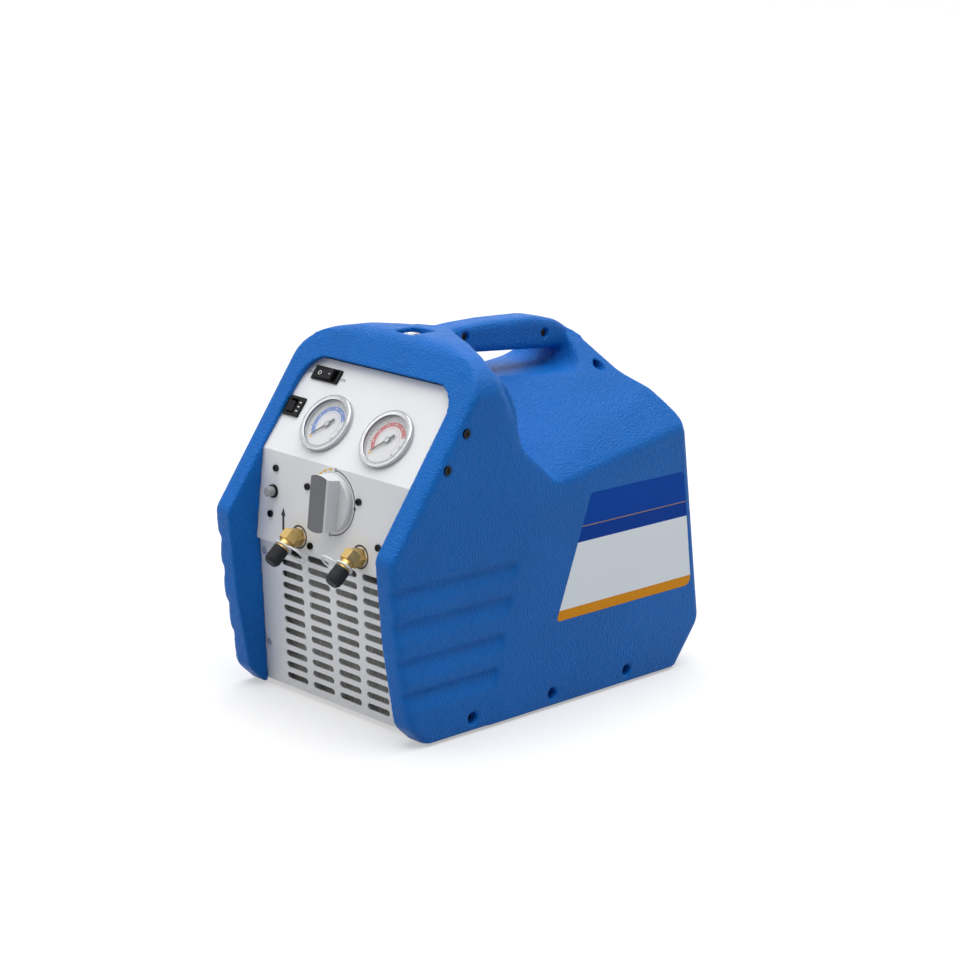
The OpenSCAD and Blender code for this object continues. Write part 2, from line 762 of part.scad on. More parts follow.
module valve_block() color("lightgray") on_knob_plate() difference() {
    translate([-block_size[0] / 2, block_up, -sheet - seat - block_size[2]]) cube(block_size);
    translate([knob_at[0], knob_at[1], -24]) cylinder(d = stem_d + 2 * run, h = 40);
    for (s = [-1, 1]) translate([s * port_x, port_up, -14]) cylinder(d = barrel_d + 2 * run, h = 40);
    for (p = screw_spots) translate([p[0], p[1], -12]) cylinder(d = screw_d + 2 * run, h = 40);
}

// Ports

module fitting(side) color("goldenrod") {
    on_port(side) {
        translate([0, 0, -12]) cylinder(d = barrel_d, h = 12.5);
        cylinder(d = hex_af / cos(30), h = hex_l, $fn = 6);
    }
    along_port(side) {
        translate([0, 0, -5]) cylinder(d = hex_af / cos(30), h = 10, $fn = 6);
        cylinder(d = barrel_d, h = barrel_l);
        cylinder(d = thread_d, h = barrel_l + thread_l);
    }
}
module inlet_fitting() fitting(-1);
module outlet_fitting() fitting(1);
cap_flutes = 18;
module cap(side) color("black") along_port(side) translate([0, 0, barrel_l + 0.3]) difference() {
    union() {
        cylinder(d = cap_d, h = cap_l - 3);
        translate([0, 0, cap_l - 3]) cylinder(d1 = cap_d, d2 = cap_d - 4, h = 3);
    }
    translate([0, 0, -1]) cylinder(d = thread_d + 0.15, h = thread_l + 2);
    for (k = [0:cap_flutes - 1]) rotate([0, 0, 360 * k / cap_flutes])
        translate([cap_d / 2 + 0.45, 0, 3]) cylinder(d = 1.5, h = cap_l);
}
module inlet_cap() cap(-1);
module outlet_cap() cap(1);
// Strap that keeps a cap with its port: a ring round the barrel and a loose loop beside it
tether_t = 1.2;
loop_d = 24;
loop_at = [[11.5, -7.2], [-18.5, -2.5]];
module tether(side) color("white") along_port(side) translate([0, 0, barrel_l - 3])
    difference() {
        union() {
            cylinder(d = barrel_d + 5, h = tether_t);
            translate(loop_at[side < 0 ? 0 : 1]) difference() {
                cylinder(d = loop_d, h = tether_t);
                translate([0, 0, -1]) cylinder(d = loop_d - 5, h = 4);
            }
        }
        translate([0, 0, -1]) cylinder(d = barrel_d + 2 * run, h = 4);
    }
module inlet_tether() tether(-1);
module outlet_tether() tether(1);

// Strap ring

module strap_ring() color("silver") on_ring() rotate([ring_tilt, 0, 0]) {
    x_hole(0, 0, -ring_r - ring_wire / 2, ring_r + ring_wire / 2, ring_wire);
    rotate_extrude(angle = 180, $fn = 64) translate([ring_r, 0]) circle(d = ring_wire, $fn = 24);
}
module ring_clip() color("silver") on_ring() difference() {
    union() {
        translate([-clip_w / 2, -clip_d / 2, recess_floor]) cube([clip_w, clip_d, -recess_floor]);
        x_hole(0, 0, -clip_w / 2, clip_w / 2, clip_d);
    }
    x_hole(0, 0, -clip_w, clip_w, ring_wire + 2 * run);
}

// Condenser and fan

module condenser_fins() color("lightgray") {
    count = floor((cond[0] - 2 * plate_t - 4) / fin_pitch / 2);
    for (k = [-count:count])
        translate([k * fin_pitch - 0.2, cond_y - cond[1] / 2, cond_z + 2])
            cube([0.4, cond[1], cond[2] - 4]);
}
module condenser_plates() color("silver")
    for (side = [0, 1]) mirror([side, 0, 0])
        translate([cond[0] / 2 - plate_t, cond_y - cond[1] / 2, cond_z]) difference() {
            cube([plate_t, cond[1], cond[2]]);
            for (k = [0:tube_rows - 1])
                translate([-1, cond[1] / 2, tube_z(k) - cond_z]) rotate([0, 90, 0])
                    cylinder(d = tube_d + 2 * run, h = plate_t + 2);
        }
function tube_z(k) = cond_z + cond[2] * (k + 0.5) / tube_rows;
module condenser_tubes() color("peru") {
    for (k = [0:tube_rows - 1])
        x_hole(cond_y, tube_z(k), -tube_half, tube_half, tube_d);
    for (k = [0:tube_rows - 2])
        translate([(k % 2 == 0 ? 1 : -1) * tube_half, cond_y, tube_z(k) + bend_r])
            rotate([90, 0, 0]) rotate([0, 0, k % 2 == 0 ? -90 : 90])
                rotate_extrude(angle = 180) translate([bend_r, 0]) circle(d = tube_d);
}
fan_shaft_d = 6;
module fan_frame() color("dimgray") translate([0, fan_y, fan_z]) rotate([-90, 0, 0]) {
    linear_extrude(fan_depth) difference() {
        soft_rect([fan_size, fan_size], 6);
        circle(d = fan_d + 4, $fn = 96);
    }
    translate([0, 0, fan_depth - 14]) difference() {
        cylinder(d = 40, h = 14);
        translate([0, 0, -1]) cylinder(d = fan_shaft_d + 2 * run, h = 12);
    }
    for (a = [0:90:270]) rotate([0, 0, a + 20])
        translate([18, -2.5, fan_depth - 4]) cube([fan_d / 2 - 14, 5, 4]);
}
module fan_rotor() color("black") translate([0, fan_y, fan_z]) rotate([-90, 0, 0]) {
    difference() {
        translate([0, 0, 3]) cylinder(d = 44, h = fan_depth - 14 - 3 - 0.5);
        translate([0, 0, 8]) cylinder(d = 30, h = fan_depth);
    }
    translate([0, 0, 6]) cylinder(d = fan_shaft_d, h = fan_depth - 14 - 6 + 9);
    for (k = [0:fan_blades - 1]) rotate([0, 0, 360 * k / fan_blades]) intersection() {
        translate([20, 0, 9.5]) rotate([35, 0, 0])
            translate([0, -11, -0.8]) cube([fan_d / 2 - 20, 22, 1.6]);
        cylinder(d = fan_d, h = fan_depth);
    }
}

// Compressor

pump_front = nose_y + 150;
pump_l = 74;
motor_l = 108;
module mount_plate() color("silver")
    translate([-62, pump_front + 4, base_top + 10]) cube([124, pump_l + motor_l - 10, 3]);
mount_spots = [for (x = [-50, 50], y = [pump_front + 20, pump_front + 150]) [x, y]];
module rubber_mounts() color("black")
    for (p = mount_spots) translate([p[0], p[1], base_top])
        rotate_extrude() polygon([[0, 0], [11, 0], [11, 3], [8, 5], [11, 7], [11, 10], [0, 10]]);
module crankcase() color("lightgray") difference() {
    union() {
        translate([-44, pump_front, base_top + 13]) cube([88, pump_l, 118 - 13]);
        translate([0, pump_front, pump_z]) rotate([90, 0, 0]) cylinder(d = 70, h = 6);
    }
    for (x = [-22, 22]) translate([x, pump_front + pump_l / 2, base_top + 112])
        cylinder(d = 30, h = 20);
}
module cylinder_heads() color("lightgray")
    for (x = [-22, 22]) translate([x, pump_front + pump_l / 2, base_top + 118]) {
        cylinder(d = 34, h = 46);
        for (k = [0:5]) translate([0, 0, 6 + 7 * k]) cylinder(d = 42, h = 2.5);
        translate([-18, -22, 46]) cube([36, 44, 9]);
    }
module compressor_motor() color("dimgray") translate([0, pump_front + pump_l, pump_z])
    rotate([-90, 0, 0]) {
        cylinder(d = motor_d, h = motor_l);
        translate([0, 0, motor_l]) cylinder(d1 = motor_d - 8, d2 = motor_d - 24, h = 10);
        translate([-40, 20, 8]) cube([80, pump_z - base_top - 13 - 20, motor_l - 24]);
    }
capacitor_d = 36;
capacitor_x = base_half - base_t - capacitor_d / 2 - 3.5;
module capacitor() color("white")
    translate([capacitor_x, pump_front + 42, base_top + capacitor_d / 2]) rotate([-90, 0, 0]) {
        cylinder(d = capacitor_d, h = 84);
        translate([0, 0, 84]) cylinder(d = capacitor_d - 6, h = 4);
    }

// Copper pipes

pipe_d = 8;
head_top = base_top + 118 + 46 + 9;
head_y = pump_front + pump_l / 2;
pipe_x = base_half - base_t - pipe_d / 2 - 0.8;
// Point behind the valve block, some way off its rear face
function behind_block(x, up, off) =
    let (depth = sheet + seat + block_size[2] + off)
    [x, knob_base[0] + up * sin(knob_lean) + depth * cos(knob_lean),
        knob_base[1] + up * cos(knob_lean) - depth * sin(knob_lean)];
module suction_pipe() color("peru") swept(pipe_path([
    behind_block(-30, 40, 0), behind_block(-30, 40, 45), [-22, nose_y + 132, head_top + 36],
    [-22, head_y, head_top + 36], [-22, head_y, head_top]
], 8), pipe_d);
module discharge_pipe() color("peru") swept(pipe_path([
    [22, head_y, head_top], [22, head_y, head_top + 26], [80, pump_front + 2, head_top + 26],
    [pipe_x - 5, nose_y + 112, tube_z(4) + 30], [pipe_x - 5, cond_y, tube_z(4) + 30],
    [pipe_x - 5, cond_y, tube_z(4)], [tube_half, cond_y, tube_z(4)]
], 6), pipe_d);
module liquid_pipe() color("peru") swept(pipe_path([
    [-tube_half, cond_y, tube_z(0)], [-pipe_x, cond_y, tube_z(0)], [-pipe_x, nose_y + 112, 40],
    [5 - pipe_x, nose_y + 117, tube_z(4) + 50], behind_block(-35, 20, 35), behind_block(-35, 20, 0)
], 6), pipe_d);

// Rear

module rear_screw_places() on_rear()
    for (sx = [-1, 1], sy = [-1, 1])
        translate([sx * (window[0] / 2 + 6), sy * (window[1] / 2 + 3), 0]) children();
rear_rows = 8;
rear_cols = 4;
module rear_panel() color("whitesmoke") on_rear()
    translate([0, 0, -wall - seat - sheet]) linear_extrude(sheet) difference() {
        square(window + 2 * [rear_lap, rear_lap], center = true);
        for (c = [0:rear_cols - 1], r = [0:rear_rows - 1])
            translate([(c - (rear_cols - 1) / 2) * col_pitch, (r - 2) * row_pitch])
                slot(slot_l, slot_h);
        translate(inlet_at) square(inlet_body + [0.4, 0.4], center = true);
        for (sx = [-1, 1], sy = [-1, 1])
            translate([sx * (window[0] / 2 + 6), sy * (window[1] / 2 + 3)])
                circle(d = screw_d + 2 * run);
    }
module rear_screws() color("black") rear_screw_places() panel_screw(wall + seat + sheet + 4);
pin_h = 8;
module mains_inlet() color("black") on_rear()
    translate([inlet_at[0], inlet_at[1], -wall - seat]) {
        difference() {
            union() {
                translate([0, 0, seat]) linear_extrude(2.5) soft_rect(inlet_flange, 2);
                translate([0, 0, -20]) linear_extrude(21) square(inlet_body, center = true);
            }
            translate([0, 0, -14]) linear_extrude(30) soft_rect(inlet_body - [3, 3.4], 2);
        }
        for (p = [[-7, -2], [7, -2], [0, 3]])
            translate([p[0] - 1, p[1] - 2, -15]) cube([2, 4, pin_h]);
    }

casing_left();
casing_right();
side_label();
join_screws();
casing_screws();
base_plate();
feet();
front_panel();
grille_panel();
panel_screws();
grille_screws();
switch_body();
switch_rocker();
breaker_body();
breaker_rocker();
reset_button();
pressure_switch();
gauge_case_low();
gauge_bezel_low();
gauge_dial_low();
gauge_needle_low();
gauge_lens_low();
gauge_case_high();
gauge_bezel_high();
gauge_dial_high();
gauge_needle_high();
gauge_lens_high();
selector_knob();
valve_stem();
valve_block();
inlet_fitting();
outlet_fitting();
inlet_cap();
outlet_cap();
inlet_tether();
outlet_tether();
strap_ring();
ring_clip();
condenser_fins();
condenser_tubes();
condenser_plates();
fan_frame();
fan_rotor();
crankcase();
cylinder_heads();
compressor_motor();
mount_plate();
rubber_mounts();
capacitor();
suction_pipe();
discharge_pipe();
liquid_pipe();
rear_panel();
rear_screws();
mains_inlet();
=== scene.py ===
"""Refrigerant recovery machine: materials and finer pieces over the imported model, in the photo's view."""
import math

import bmesh
import bpy
from mathutils import Matrix, Vector


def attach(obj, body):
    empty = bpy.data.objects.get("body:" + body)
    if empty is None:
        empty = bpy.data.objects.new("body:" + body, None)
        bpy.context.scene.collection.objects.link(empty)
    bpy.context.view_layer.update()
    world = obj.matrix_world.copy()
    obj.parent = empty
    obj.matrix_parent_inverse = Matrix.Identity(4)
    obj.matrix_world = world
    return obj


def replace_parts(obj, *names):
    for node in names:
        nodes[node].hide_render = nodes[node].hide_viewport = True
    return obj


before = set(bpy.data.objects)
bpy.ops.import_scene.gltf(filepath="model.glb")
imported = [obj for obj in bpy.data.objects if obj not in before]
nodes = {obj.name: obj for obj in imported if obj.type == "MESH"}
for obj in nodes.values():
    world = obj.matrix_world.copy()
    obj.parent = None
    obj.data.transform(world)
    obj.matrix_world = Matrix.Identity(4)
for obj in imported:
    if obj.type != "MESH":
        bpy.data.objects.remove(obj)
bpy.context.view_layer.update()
MM = 0.001
BODY = "machine"

# Camera, from the edges of the photo: 960 pixels across, focal length in pixels

VIEW_AZIMUTH = 44.4
VIEW_ELEVATION = 14.2
VIEW_ROLL = 2.0
FOCAL_PX = 2243.0
FRAME_PX = 960.0
SENSOR_MM = 36.0
CLIP_END = 50.0
CAMERA_AT = Vector((1.47066, -1.48388, 0.72607))


def add_camera():
    """The photo's view: azimuth round from the front, elevation, then a slight roll."""
    azimuth = math.radians(VIEW_AZIMUTH)
    elevation = math.radians(VIEW_ELEVATION)
    back = Vector((math.sin(azimuth) * math.cos(elevation),
                   -math.cos(azimuth) * math.cos(elevation),
                   math.sin(elevation)))
    right = Vector((0, 0, 1)).cross(back).normalized()
    up = back.cross(right)
    turn = Matrix.Rotation(math.radians(VIEW_ROLL), 3, back)
    right = turn @ right
    up = turn @ up
    data = bpy.data.cameras.new("view")
    data.sensor_width = SENSOR_MM
    data.lens = FOCAL_PX / FRAME_PX * SENSOR_MM
    data.clip_end = CLIP_END
    camera = bpy.data.objects.new("view", data)
    camera.matrix_world = Matrix((
        (right.x, up.x, back.x, CAMERA_AT.x),
        (right.y, up.y, back.y, CAMERA_AT.y),
        (right.z, up.z, back.z, CAMERA_AT.z),
        (0, 0, 0, 1),
    ))
    bpy.context.scene.collection.objects.link(camera)
    bpy.context.scene.camera = camera


# Node helpers


class Shader:
    """A material under construction, with short calls for the nodes used here."""

    def __init__(self, name):
        self.material = bpy.data.materials.new(name)
        self.material.use_nodes = True
        self.tree = self.material.node_tree
        self.bsdf = self.tree.nodes["Principled BSDF"]
        self.coords = self.tree.nodes.new("ShaderNodeTexCoord").outputs["Object"]

    def set(self, **values):
        for key, value in values.items():
            self.bsdf.inputs[key.replace("_", " ")].default_value = value

    def node(self, kind, **inputs):
        made = self.tree.nodes.new("ShaderNode" + kind)
        for key, value in inputs.items():
            socket = made.inputs[key.replace("_", " ")]
            if isinstance(value, bpy.types.NodeSocket):
                self.tree.links.new(value, socket)
            else:
                socket.default_value = value
        return made

    def link(self, source, target):
        self.tree.links.new(source, self.bsdf.inputs[target])

    def noise(self, scale, detail=2.0, roughness=0.5):
        return self.node("TexNoise", Vector=self.coords, Scale=scale, Detail=detail,
                         Roughness=roughness).outputs["Fac"]

    def ramp(self, source, low, high, start=0.0, end=1.0):
        made = self.node("ValToRGB", Fac=source)
        made.color_ramp.elements[0].position = start
        made.color_ramp.elements[1].position = end
        made.color_ramp.elements[0].color = low
        made.color_ramp.elements[1].color = high
        return made.outputs["Color"]

    def spread(self, source, low, high, start=0.0, end=1.0):
        made = self.node("MapRange", Value=source)
        made.inputs["From Min"].default_value = start
        made.inputs["From Max"].default_value = end
        made.inputs["To Min"].default_value = low
        made.inputs["To Max"].default_value = high
        return made.outputs["Result"]

    def bump(self, height, distance, strength=1.0, under=None):
        made = self.node("Bump", Height=height, Strength=strength, Distance=distance)
        if under is not None:
            self.tree.links.new(under, made.inputs["Normal"])
        return made.outputs["Normal"]


def shade(color, factor):
    """A colour made darker or lighter, with full alpha."""
    return (color[0] * factor, color[1] * factor, color[2] * factor, 1)


def moulded(name, color, rough, grain_mm, depth_mm, vary=0.08, spec=0.5):
    """Moulded plastic: a pebbled grain, a finer noise, and slightly uneven colour and gloss."""
    s = Shader(name)
    s.set(Specular_IOR_Level=spec)
    s.link(s.ramp(s.noise(9, 4), shade(color, 1 - vary), shade(color, 1 + vary), 0.3, 0.7), "Base Color")
    s.link(s.spread(s.noise(160, 3), rough - 0.06, rough + 0.08, 0.3, 0.7), "Roughness")
    cells = s.node("TexVoronoi", Vector=s.coords, Scale=1000 / grain_mm)
    fine = s.bump(s.noise(2600 / grain_mm, 3), depth_mm * 0.35 * MM, 0.5)
    s.link(s.bump(cells.outputs["Distance"], depth_mm * MM, 0.9, fine), "Normal")
    return s.material


def painted(name, color, rough, peel_mm=1.6, depth_mm=0.012, spec=0.5):
    """Powder coat on sheet metal: faint orange peel and a trace of uneven tone."""
    s = Shader(name)
    s.set(Specular_IOR_Level=spec)
    s.link(s.ramp(s.noise(14, 3), shade(color, 0.97), shade(color, 1.02), 0.3, 0.7), "Base Color")
    s.link(s.spread(s.noise(220, 2), rough - 0.05, rough + 0.06, 0.3, 0.7), "Roughness")
    s.link(s.bump(s.noise(1000 / peel_mm, 2), depth_mm * MM, 0.6), "Normal")
    return s.material


def metal(name, color, rough, scratch=900, stretch=(1, 1, 1), depth_mm=0.004, vary=0.06):
    """Bare or plated metal with faint scratches along one direction."""
    s = Shader(name)
    s.set(Metallic=1.0)
    lined = s.node("Mapping", Vector=s.coords, Scale=stretch).outputs["Vector"]
    lines = s.node("TexNoise", Vector=lined, Scale=scratch, Detail=4.0).outputs["Fac"]
    s.link(s.ramp(s.noise(60, 3), shade(color, 1 - vary), shade(color, 1 + vary), 0.3, 0.7), "Base Color")
    s.link(s.spread(lines, rough - 0.05, rough + 0.1, 0.3, 0.7), "Roughness")
    s.link(s.bump(lines, depth_mm * MM, 0.4), "Normal")
    return s.material


def clear(name):
    """A clear window: mostly see-through, with its gloss kept."""
    s = Shader(name)
    s.set(Base_Color=(0.97, 0.98, 1, 1), Roughness=0.03, Alpha=0.09, Specular_IOR_Level=0.5)
    s.material.surface_render_method = "BLENDED"
    return s.material


def printed(name, color, rough=0.5):
    """Printing ink, with a little wear in its tone."""
    s = Shader(name)
    s.link(s.ramp(s.noise(700, 3), shade(color, 0.9), shade(color, 1.08), 0.3, 0.7), "Base Color")
    s.set(Roughness=rough)
    return s.material


def banded(name, low, high, bands, rough=0.34):
    """Printed film in plain bands of colour up its height; a band is (start as a share, colour)."""
    s = Shader(name)
    height = s.node("SeparateXYZ", Vector=s.coords).outputs["Z"]
    made = s.node("ValToRGB", Fac=s.spread(height, 0, 1, low, high))
    made.color_ramp.interpolation = "CONSTANT"
    while len(made.color_ramp.elements) < len(bands):
        made.color_ramp.elements.new(1.0)
    for element, (start, color) in zip(made.color_ramp.elements, bands):
        element.position = start
        element.color = shade(color, 1)
    s.link(made.outputs["Color"], "Base Color")
    s.set(Specular_IOR_Level=0.04)
    s.link(s.spread(s.noise(300, 3), rough - 0.06, rough + 0.08, 0.3, 0.7), "Roughness")
    s.link(s.bump(s.noise(900, 2), 0.01 * MM, 0.5), "Normal")
    return s.material


BLUE = (0.002, 0.13, 0.495)
LABEL_LOW = 0.085
LABEL_HIGH = 0.204
LABEL_BANDS = (
    (0.0, (0.74, 0.3, 0.015)),
    (0.084, (0.83, 0.9, 0.96)),
    (0.613, (0.002, 0.05, 0.34)),
    (0.734, (0.4, 0.25, 0.1)),
    (0.742, (0.002, 0.065, 0.4)),
)
MAT = {
    "housing": moulded("housing_blue", BLUE, 0.42, 2.0, 0.8, spec=0.16),
    "label": banded("label_film", LABEL_LOW, LABEL_HIGH, LABEL_BANDS),
    "panel": painted("panel_white", (0.78, 0.795, 0.815), 0.36),
    "black": moulded("black_moulding", (0.011, 0.0115, 0.013), 0.42, 0.7, 0.02, 0.2, 0.12),
    "cap": moulded("cap_black", (0.018, 0.02, 0.023), 0.5, 0.6, 0.03, 0.2, 0.16),
    "knob": moulded("knob_grey", (0.62, 0.63, 0.65), 0.34, 0.6, 0.012, 0.05),
    "knob_face": moulded("knob_face", (0.12, 0.125, 0.138), 0.4, 0.6, 0.012, 0.06),
    "button": moulded("button_grey", (0.3, 0.31, 0.32), 0.38, 0.6, 0.012, 0.06),
    "chrome": metal("chrome", (0.44, 0.45, 0.47), 0.14, 400),
    "cup": metal("gauge_cup", (0.55, 0.56, 0.58), 0.34, 500),
    "dial": painted("dial_white", (0.74, 0.75, 0.77), 0.45, 0.5, 0.003),
    "needle": painted("needle_black", (0.012, 0.012, 0.013), 0.35, 0.5, 0.003),
    "lens": clear("gauge_window"),
    "brass": metal("brass", (0.6, 0.42, 0.16), 0.34, 250, depth_mm=0.001),
    "steel": metal("zinc_steel", (0.6, 0.6, 0.61), 0.4, 600),
    "fins": painted("fin_stock", (0.8, 0.81, 0.78), 0.4, 0.8, 0.004),
    "black_screw": metal("black_screw", (0.022, 0.022, 0.024), 0.3, 600),
    "rubber": moulded("rubber", (0.02, 0.02, 0.02), 0.62, 0.8, 0.03, 0.2, 0.2),
    "tether": moulded("tether_white", (0.72, 0.74, 0.77), 0.3, 0.8, 0.01, 0.04),
    "aluminium": metal("aluminium", (0.6, 0.61, 0.63), 0.38, 700),
    "motor": painted("motor_enamel", (0.02, 0.02, 0.022), 0.35),
    "copper": metal("copper", (0.62, 0.3, 0.17), 0.3, 600),
    "ink_dark": printed("ink_dark", (0.02, 0.022, 0.028)),
    "ink_blue": printed("ink_blue", (0.07, 0.2, 0.56)),
    "ink_red": printed("ink_red", (0.52, 0.07, 0.075)),
    "ink_yellow": printed("ink_yellow", (0.78, 0.45, 0.03)),
    "ink_white": printed("ink_white", (0.75, 0.76, 0.78)),
}
NODE_MATERIAL = {
    "label": ("side_label",),
    "panel": ("front_panel", "grille_panel", "rear_panel"),
    "black": ("switch_body", "switch_rocker", "breaker_body", "breaker_rocker", "pressure_switch",
              "mains_inlet", "fan_frame", "fan_rotor"),
    "cap": ("inlet_cap", "outlet_cap"),
    "button": ("reset_button",),
    "knob": ("selector_knob",),
    "chrome": ("gauge_bezel_low", "gauge_bezel_high", "strap_ring"),
    "cup": ("gauge_case_low", "gauge_case_high"),
    "dial": ("gauge_dial_low", "gauge_dial_high", "capacitor"),
    "needle": ("gauge_needle_low", "gauge_needle_high"),
    "lens": ("gauge_lens_low", "gauge_lens_high"),
    "brass": ("inlet_fitting", "outlet_fitting"),
    "steel": ("grille_screws", "base_plate", "mount_plate", "ring_clip", "valve_stem",
              "condenser_plates"),
    "black_screw": ("join_screws", "casing_screws", "panel_screws", "rear_screws"),
    "rubber": ("feet", "rubber_mounts"),
    "tether": ("inlet_tether", "outlet_tether"),
    "aluminium": ("valve_block", "crankcase", "cylinder_heads"),
    "fins": ("condenser_fins",),
    "motor": ("compressor_motor",),
    "copper": ("condenser_tubes", "suction_pipe", "discharge_pipe", "liquid_pipe"),
}
EDGE_MM = {
    "switch_body": 0.5, "switch_rocker": 0.4, "breaker_body": 0.5, "breaker_rocker": 0.4,
    "selector_knob": 0.8, "inlet_fitting": 0.5, "outlet_fitting": 0.5, "inlet_cap": 0.3, "outlet_cap": 0.3,
    "reset_button": 0.4, "gauge_bezel_low": 0.4, "gauge_bezel_high": 0.4, "mains_inlet": 0.5,
    "panel_screws": 0.4, "grille_screws": 0.4, "casing_screws": 0.4, "join_screws": 0.4,
    "rear_screws": 0.4,
}
EDGE_WELD = 0.00002
EDGE_ANGLE = math.radians(32)
FLAT_FACE_WEIGHT = 90


def dress_cad():
    """Give every carried-over node its material, and a soft edge where one shows."""
    for key, names in NODE_MATERIAL.items():
        for name in names:
            data = nodes[name].data
            data.materials.clear()
            data.materials.append(MAT[key])
            if name in EDGE_MM:
                soften_edges(nodes[name], EDGE_MM[name] * MM)


def soften_edges(node, width):
    """A small bevel on the sharp edges, with normals that follow the large faces."""
    node.data.shade_smooth()
    weld = node.modifiers.new("weld", "WELD")
    weld.merge_threshold = EDGE_WELD
    bevel = node.modifiers.new("edges", "BEVEL")
    bevel.width = width
    bevel.segments = 2
    bevel.limit_method = "ANGLE"
    bevel.angle_limit = EDGE_ANGLE
    normals = node.modifiers.new("normals", "WEIGHTED_NORMAL")
    normals.mode = "FACE_AREA_WITH_ANGLE"
    normals.weight = FLAT_FACE_WEIGHT
    normals.keep_sharp = False


# Housing: the two halves joined, softened as a blow moulding is, and parted again

PARTING_GAP = 1e-6
HALVES_WELD = 1e-5
VOXEL = 1.6 * MM
SMOOTH_FACTOR = 0.5
SOFT_ROUNDS = 5
SHOULDER_ROUNDS = 60
RIB_ROUNDS = 24
COLLAR_ROUNDS = 24
COLLAR_IN = 0.106
COLLAR_REAR = -0.045
COLLAR_LOW = 0.17
COLLAR_SCREWS = ((-0.126, 0.283), (-0.148, 0.253))
COLLAR_SCREW_R = 0.0068
RIB_OUT = 0.112
RIB_REAR = 0.0
RIB_LOW = 0.028
RIB_HIGH = 0.175
SHOULDER_FRONT = -0.1
SHOULDER_LOW = 0.19
SHOULDER_IN = 0.024
SLOPE_SCREW = (0.123, 0.303)
SLOPE_SCREW_R = 0.009
REAR_FACE_Y = 0.155
REAR_WINDOW_TOP = 0.245
KEEP = 0.35

# Rear edge of the collar on the sides, in millimetres: upright above, then a slant to the shoulder
COLLAR_EDGE = ((108, -84, 334), (118, -72, 323), (121.5, -62, 305), (122.5, -58.5, 290),
               (123, -56, 275), (123.3, -54.5, 262))
SLANT_EDGE = ((124, -54.5, 262), (124.2, -39.5, 248), (124.5, -21, 235), (124.6, -3, 219.5),
              (124, -60, 219.5))
EDGE_INNER_X = 95
EDGE_FRONT_Y = -110

# Floor and sides of the well of the slope screw's head, in millimetres: y from, y to, top at each end
WELL_FROM_X = 45.5
WELL_TO_X = 57
WELL_LOW = 294.8
WELL_WALLS = ((116, 118.8, 302, 299.5), (118.4, 127.6, 298.4, 298), (127.2, 130, 303, 300.5))

# Plane that bevels the lower edge of the shoulder, and the slant in front of it
BEVEL_AT = Vector((125, 2, 220)) * MM
BEVEL_OUT = Vector((0.702, -0.131, 0.7)).normalized()
BEVEL_DEEPEST = 8 * MM
BEVEL_FROM_X = 0.085
SLANT_AT = (-0.021, 0.235)
SLANT_FALL = 0.845
SLANT_MARGIN = 0.0015


def on_shoulder(point):
    """Whether a point lies on the wide soft shoulders behind the collar, clear of the screw hole."""
    if point.y < SHOULDER_FRONT or point.z < SHOULDER_LOW or abs(point.x) < SHOULDER_IN:
        return False
    if point.y > REAR_FACE_Y and point.z < REAR_WINDOW_TOP:
        return False
    return math.hypot(point.y - SLOPE_SCREW[0], point.z - SLOPE_SCREW[1]) > SLOPE_SCREW_R


def on_collar(point):
    """Whether a point lies on the outer edges of the collar, clear of its screw wells."""
    if abs(point.x) < COLLAR_IN or point.y > COLLAR_REAR or point.z < COLLAR_LOW:
        return False
    return all(math.hypot(point.y - y, point.z - z) > COLLAR_SCREW_R for y, z in COLLAR_SCREWS)


def on_ribs(point):
    """Whether a point lies on the soft ledges low on the front of a side."""
    return abs(point.x) > RIB_OUT and point.y < RIB_REAR and RIB_LOW < point.z < RIB_HIGH


def add_hull(mesh, side, points):
    """Add the convex solid round some points, in millimetres, on one side of the middle plane."""
    made = [mesh.verts.new((side * x * MM, y * MM, z * MM)) for x, y, z in points]
    hull = bmesh.ops.convex_hull(mesh, input=made)
    spare = {v for v in hull["geom_interior"] if isinstance(v, bmesh.types.BMVert)}
    bmesh.ops.delete(mesh, geom=list(spare), context="VERTS")


def add_collar_edge(mesh):
    """The collar's rear edge on both sides, and the slant below it."""
    for side in (-1, 1):
        inner = [(EDGE_INNER_X, y, z) for x, y, z in COLLAR_EDGE]
        front = [(EDGE_INNER_X, EDGE_FRONT_Y, z) for x, y, z in COLLAR_EDGE]
        add_hull(mesh, side, list(COLLAR_EDGE) + inner + front)
        inner = [(EDGE_INNER_X, y, z) for x, y, z in SLANT_EDGE]
        add_hull(mesh, side, list(SLANT_EDGE) + inner)


def close_screw_well(mesh):
    """Carry the well out to the roof, on the right side, where the screw's head sits."""
    for y_from, y_to, start_top, end_top in WELL_WALLS:
        ends = ((WELL_FROM_X, start_top), (WELL_TO_X, end_top))
        add_hull(mesh, 1, [(x, y, z) for x, top in ends for y in (y_from, y_to) for z in (WELL_LOW, top)])


def bevel_shoulder(mesh):
    """Press the shoulder's lower edge back onto the bevel's plane."""
    for vertex in mesh.vertices:
        point = vertex.co
        behind = (point.y - SLANT_AT[0]) * SLANT_FALL + point.z - SLANT_AT[1]
        if abs(point.x) < BEVEL_FROM_X or behind < SLANT_MARGIN:
            continue
        depth = (Vector((abs(point.x), point.y, point.z)) - BEVEL_AT).dot(BEVEL_OUT)
        if 0 < depth < BEVEL_DEEPEST:
            turn = math.copysign(1, point.x)
            vertex.co = point - depth * Vector((turn * BEVEL_OUT.x, BEVEL_OUT.y, BEVEL_OUT.z))


def linked(name, data, body=BODY):
    """A new piece in the scene that rides on a body."""
    made = bpy.data.objects.new(name, data)
    bpy.context.scene.collection.objects.link(made)
    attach(made, body)
    return made


